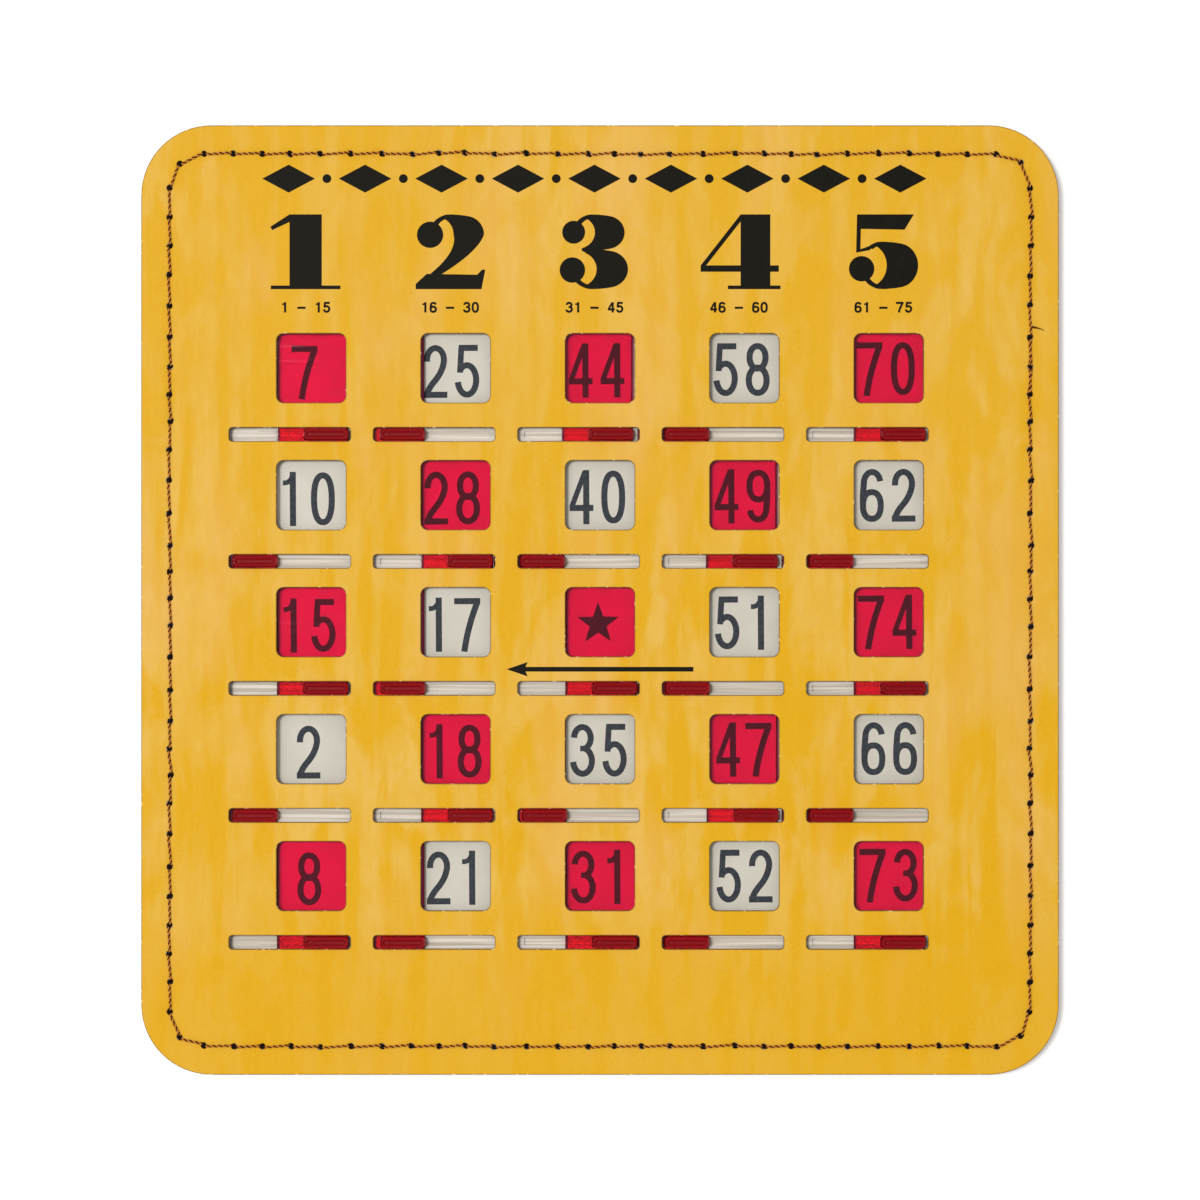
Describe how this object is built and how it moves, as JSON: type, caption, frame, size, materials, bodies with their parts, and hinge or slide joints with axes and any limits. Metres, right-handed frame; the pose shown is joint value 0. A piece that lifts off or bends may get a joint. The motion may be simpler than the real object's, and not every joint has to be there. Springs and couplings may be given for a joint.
{
  "type": "shutter bingo card",
  "caption": "Flat stitched board game card with a grid of numbered windows, each covered by a clear red plastic shutter that slides open or shut by a raised thumb tab.",
  "frame": {"origin": "centre of the card on its back face, on the surface that it lies on", "axes": "+Z out of the face towards the player, +Y towards the top of the card, +X to the right"},
  "size_m": [0.216, 0.2234, 0.0063],
  "materials": {
    "facing_paper": "printed wood grain, satin varnish",
    "chipboard": "grey-brown chipboard, die cut",
    "number_card": "coated white card, printed numbers",
    "white_plastic": "thin white sheet plastic",
    "red_plastic": "clear red moulded plastic",
    "thread": "dark twisted thread"
  },
  "bodies": {
    "card": {"front_paper": "facing_paper", "front_board": "chipboard", "spacer_top": "chipboard", "spacer_bottom": "chipboard", "spacer_left": "chipboard", "spacer_right": "chipboard", "row_rail_1": "chipboard", "row_rail_2": "chipboard", "row_rail_3": "chipboard", "row_rail_4": "chipboard", "number_sheet": "number_card", "back_board": "chipboard", "back_paper": "facing_paper", "needle_thread": "thread", "bobbin_thread": "thread"},
    "clearing_slide": {"clearing_slide": "white_plastic", "centre_shutter": "red_plastic"},
    "shutter_r1_c1": {"shutter_r1_c1": "red_plastic"},
    "shutter_r1_c2": {"shutter_r1_c2": "red_plastic"},
    "shutter_r1_c3": {"shutter_r1_c3": "red_plastic"},
    "shutter_r1_c4": {"shutter_r1_c4": "red_plastic"},
    "shutter_r1_c5": {"shutter_r1_c5": "red_plastic"},
    "shutter_r2_c1": {"shutter_r2_c1": "red_plastic"},
    "shutter_r2_c2": {"shutter_r2_c2": "red_plastic"},
    "shutter_r2_c3": {"shutter_r2_c3": "red_plastic"},
    "shutter_r2_c4": {"shutter_r2_c4": "red_plastic"},
    "shutter_r2_c5": {"shutter_r2_c5": "red_plastic"},
    "shutter_r3_c1": {"shutter_r3_c1": "red_plastic"},
    "shutter_r3_c2": {"shutter_r3_c2": "red_plastic"},
    "shutter_r3_c4": {"shutter_r3_c4": "red_plastic"},
    "shutter_r3_c5": {"shutter_r3_c5": "red_plastic"},
    "shutter_r4_c1": {"shutter_r4_c1": "red_plastic"},
    "shutter_r4_c2": {"shutter_r4_c2": "red_plastic"},
    "shutter_r4_c3": {"shutter_r4_c3": "red_plastic"},
    "shutter_r4_c4": {"shutter_r4_c4": "red_plastic"},
    "shutter_r4_c5": {"shutter_r4_c5": "red_plastic"},
    "shutter_r5_c1": {"shutter_r5_c1": "red_plastic"},
    "shutter_r5_c2": {"shutter_r5_c2": "red_plastic"},
    "shutter_r5_c3": {"shutter_r5_c3": "red_plastic"},
    "shutter_r5_c4": {"shutter_r5_c4": "red_plastic"},
    "shutter_r5_c5": {"shutter_r5_c5": "red_plastic"}
  },
  "joints": [
    {"name": "slide_r1_c1", "type": "slide", "parent": "card", "child": "shutter_r1_c1", "axis": [1, 0, 0], "range_m": [-0.017, 0]},
    {"name": "slide_r1_c2", "type": "slide", "parent": "card", "child": "shutter_r1_c2", "axis": [1, 0, 0], "range_m": [-0.00102, 0.01598]},
    {"name": "slide_r1_c3", "type": "slide", "parent": "card", "child": "shutter_r1_c3", "axis": [1, 0, 0], "range_m": [-0.01615, 0.00085]},
    {"name": "slide_r1_c4", "type": "slide", "parent": "card", "child": "shutter_r1_c4", "axis": [1, 0, 0], "range_m": [0, 0.017]},
    {"name": "slide_r1_c5", "type": "slide", "parent": "card", "child": "shutter_r1_c5", "axis": [1, 0, 0], "range_m": [-0.017, 0]},
    {"name": "slide_r2_c1", "type": "slide", "parent": "card", "child": "shutter_r2_c1", "axis": [1, 0, 0], "range_m": [-0.00034, 0.01666]},
    {"name": "slide_r2_c2", "type": "slide", "parent": "card", "child": "shutter_r2_c2", "axis": [1, 0, 0], "range_m": [-0.017, 0]},
    {"name": "slide_r2_c3", "type": "slide", "parent": "card", "child": "shutter_r2_c3", "axis": [1, 0, 0], "range_m": [0, 0.017]},
    {"name": "slide_r2_c4", "type": "slide", "parent": "card", "child": "shutter_r2_c4", "axis": [1, 0, 0], "range_m": [-0.01615, 0.00085]},
    {"name": "slide_r2_c5", "type": "slide", "parent": "card", "child": "shutter_r2_c5", "axis": [1, 0, 0], "range_m": [0, 0.017]},
    {"name": "slide_r3_c1", "type": "slide", "parent": "card", "child": "shutter_r3_c1", "axis": [1, 0, 0], "range_m": [-0.017, 0]},
    {"name": "slide_r3_c2", "type": "slide", "parent": "card", "child": "shutter_r3_c2", "axis": [1, 0, 0], "range_m": [-0.00111, 0.01589]},
    {"name": "centre_slide", "type": "slide", "parent": "card", "child": "clearing_slide", "axis": [1, 0, 0], "range_m": [-0.017, 0]},
    {"name": "slide_r3_c4", "type": "slide", "parent": "card", "child": "shutter_r3_c4", "axis": [1, 0, 0], "range_m": [-0.00017, 0.01683]},
    {"name": "slide_r3_c5", "type": "slide", "parent": "card", "child": "shutter_r3_c5", "axis": [1, 0, 0], "range_m": [-0.017, 0]},
    {"name": "slide_r4_c1", "type": "slide", "parent": "card", "child": "shutter_r4_c1", "axis": [1, 0, 0], "range_m": [-0.00034, 0.01666]},
    {"name": "slide_r4_c2", "type": "slide", "parent": "card", "child": "shutter_r4_c2", "axis": [1, 0, 0], "range_m": [-0.017, 0]},
    {"name": "slide_r4_c3", "type": "slide", "parent": "card", "child": "shutter_r4_c3", "axis": [1, 0, 0], "range_m": [-0.00051, 0.01649]},
    {"name": "slide_r4_c4", "type": "slide", "parent": "card", "child": "shutter_r4_c4", "axis": [1, 0, 0], "range_m": [-0.01632, 0.00068]},
    {"name": "slide_r4_c5", "type": "slide", "parent": "card", "child": "shutter_r4_c5", "axis": [1, 0, 0], "range_m": [0, 0.017]},
    {"name": "slide_r5_c1", "type": "slide", "parent": "card", "child": "shutter_r5_c1", "axis": [1, 0, 0], "range_m": [-0.017, 0]},
    {"name": "slide_r5_c2", "type": "slide", "parent": "card", "child": "shutter_r5_c2", "axis": [1, 0, 0], "range_m": [-0.00111, 0.01589]},
    {"name": "slide_r5_c3", "type": "slide", "parent": "card", "child": "shutter_r5_c3", "axis": [1, 0, 0], "range_m": [-0.017, 0]},
    {"name": "slide_r5_c4", "type": "slide", "parent": "card", "child": "shutter_r5_c4", "axis": [1, 0, 0], "range_m": [0, 0.017]},
    {"name": "slide_r5_c5", "type": "slide", "parent": "card", "child": "shutter_r5_c5", "axis": [1, 0, 0], "range_m": [-0.017, 0]}
  ]
}
